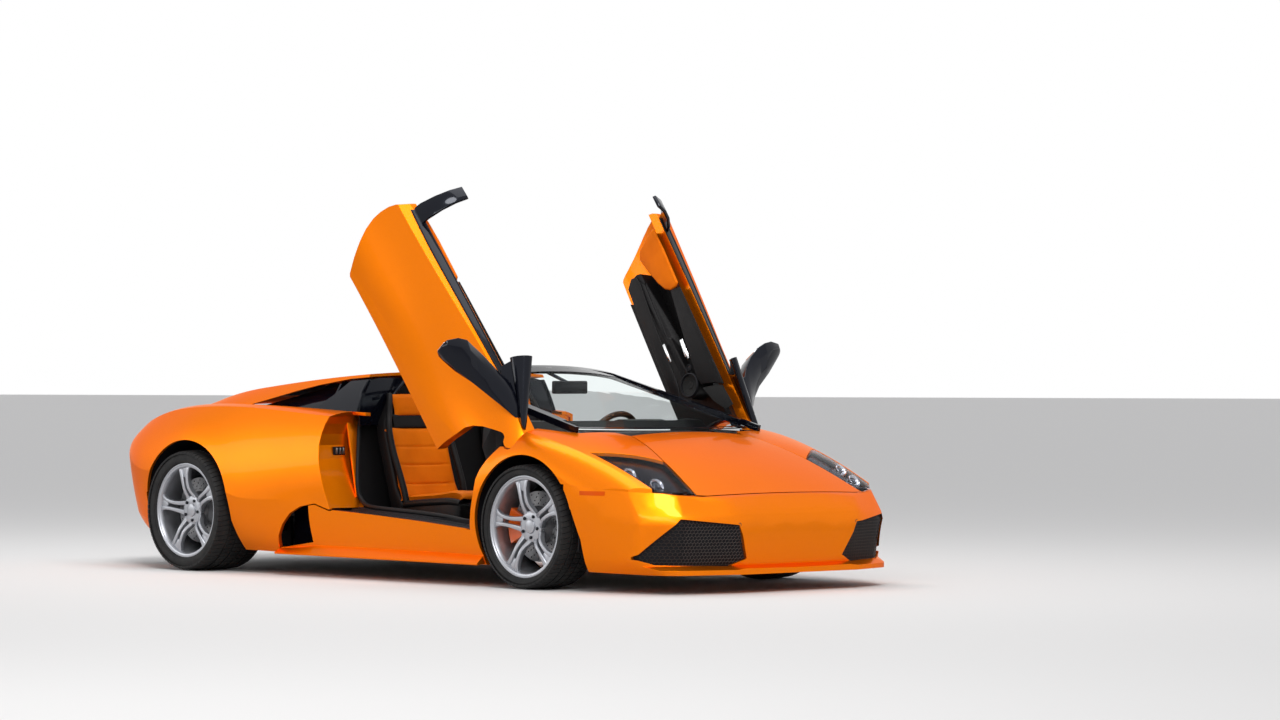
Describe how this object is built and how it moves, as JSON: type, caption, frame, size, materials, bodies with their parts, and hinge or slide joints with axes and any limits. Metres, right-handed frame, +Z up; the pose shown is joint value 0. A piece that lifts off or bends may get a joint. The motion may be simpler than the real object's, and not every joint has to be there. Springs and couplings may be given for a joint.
{
  "type": "supercar",
  "caption": "Low open-topped mid-engined sports car with a wedge nose, doors swung up about front hinges, side air scoops and alloy wheels.",
  "frame": {"origin": "midway along the overall length, on the centre plane, on the ground", "axes": "+X forward, +Y to the car's left, +Z up"},
  "size_m": [4.595, 2.4304, 2.0486],
  "materials": {
    "paint": "orange pearl with a clear coat",
    "black_plastic": "satin black",
    "gloss_black": "gloss black",
    "lamp_glass": "dark clear cover",
    "glass": "clear",
    "leather_black": "fine grain",
    "leather_orange": "fine grain with seams",
    "castings": "as cast",
    "steel": "brushed",
    "caliper_paint": "orange enamel",
    "tyre": "matt rubber",
    "alloy": "silver lacquer"
  },
  "bodies": {
    "chassis": {"floor_tub": "black_plastic", "sills": "paint", "front_bumper": "paint", "bumper_grilles": "black_plastic", "front_wings": "paint", "arch_liners": "black_plastic", "headlamps": "lamp_glass", "cowl": "black_plastic", "windscreen": "glass", "windscreen_frame": "black_plastic", "dashboard": "leather_black", "steering_wheel": "leather_black", "seats": "leather_orange", "rear_bulkhead": "black_plastic", "engine": "castings", "rear_quarters": "paint", "flank_vents": "black_plastic", "tail_lamps": "lamp_glass", "rear_bumper": "paint", "tail_panel": "black_plastic", "diffuser": "black_plastic", "exhaust": "steel", "luggage_tub": "black_plastic", "front_arms": "castings", "rear_axle": "castings"},
    "bonnet": {"bonnet": "paint"},
    "engine_lid": {"engine_lid": "paint"},
    "door_right": {"door_right": "paint", "door_right_trim": "leather_black", "door_right_mirror": "gloss_black"},
    "knuckle_right": {"knuckle_right": "castings", "caliper_right": "caliper_paint"},
    "wheel_front_right": {"tyre_front_right": "tyre", "wheel_front_right": "alloy"},
    "wheel_rear_right": {"tyre_rear_right": "tyre", "wheel_rear_right": "alloy"},
    "door_left": {"door_left": "paint", "door_left_trim": "leather_black", "door_left_mirror": "gloss_black"},
    "knuckle_left": {"knuckle_left": "castings", "caliper_left": "caliper_paint"},
    "wheel_front_left": {"tyre_front_left": "tyre", "wheel_front_left": "alloy"},
    "wheel_rear_left": {"tyre_rear_left": "tyre", "wheel_rear_left": "alloy"}
  },
  "joints": [
    {"name": "steer_left", "type": "hinge", "parent": "chassis", "child": "knuckle_left", "pos_m": [1.27, 0.74, 0.314], "axis": [0, 0, 1], "range_deg": [-28, 28]},
    {"name": "steer_right", "type": "hinge", "parent": "chassis", "child": "knuckle_right", "pos_m": [1.27, -0.74, 0.314], "axis": [0, 0, 1], "range_deg": [-28, 28]},
    {"name": "spin_front_left", "type": "hinge", "parent": "knuckle_left", "child": "wheel_front_left", "pos_m": [1.27, 0.8175, 0.314], "axis": [0, 1, 0], "continuous": true},
    {"name": "spin_rear_left", "type": "hinge", "parent": "chassis", "child": "wheel_rear_left", "pos_m": [-1.395, 0.8475, 0.329], "axis": [0, 1, 0], "continuous": true},
    {"name": "spin_front_right", "type": "hinge", "parent": "knuckle_right", "child": "wheel_front_right", "pos_m": [1.27, -0.8175, 0.314], "axis": [0, 1, 0], "continuous": true},
    {"name": "spin_rear_right", "type": "hinge", "parent": "chassis", "child": "wheel_rear_right", "pos_m": [-1.395, -0.8475, 0.329], "axis": [0, 1, 0], "continuous": true},
    {"name": "door_right_hinge", "type": "hinge", "parent": "chassis", "child": "door_right", "pos_m": [1.1445, -0.85, 0.749], "axis": [0.0757, 0.9963, 0.0408], "range_deg": [-52.6, 0]},
    {"name": "door_left_hinge", "type": "hinge", "parent": "chassis", "child": "door_left", "pos_m": [1.1445, 0.85, 0.749], "axis": [-0.0757, 0.9963, -0.0408], "range_deg": [-52.6, 0]},
    {"name": "bonnet_hinge", "type": "hinge", "parent": "chassis", "child": "bonnet", "pos_m": [1.47, 0, 0.73], "axis": [0, -1, 0], "range_deg": [0, 50]},
    {"name": "engine_lid_hinge", "type": "hinge", "parent": "chassis", "child": "engine_lid", "pos_m": [-1.812, 0, 0.838], "axis": [0, -1, 0], "range_deg": [0, 40]}
  ],
  "couplings": [
    {"joint": "steer_right", "follows": "steer_left", "ratio": 1}
  ]
}
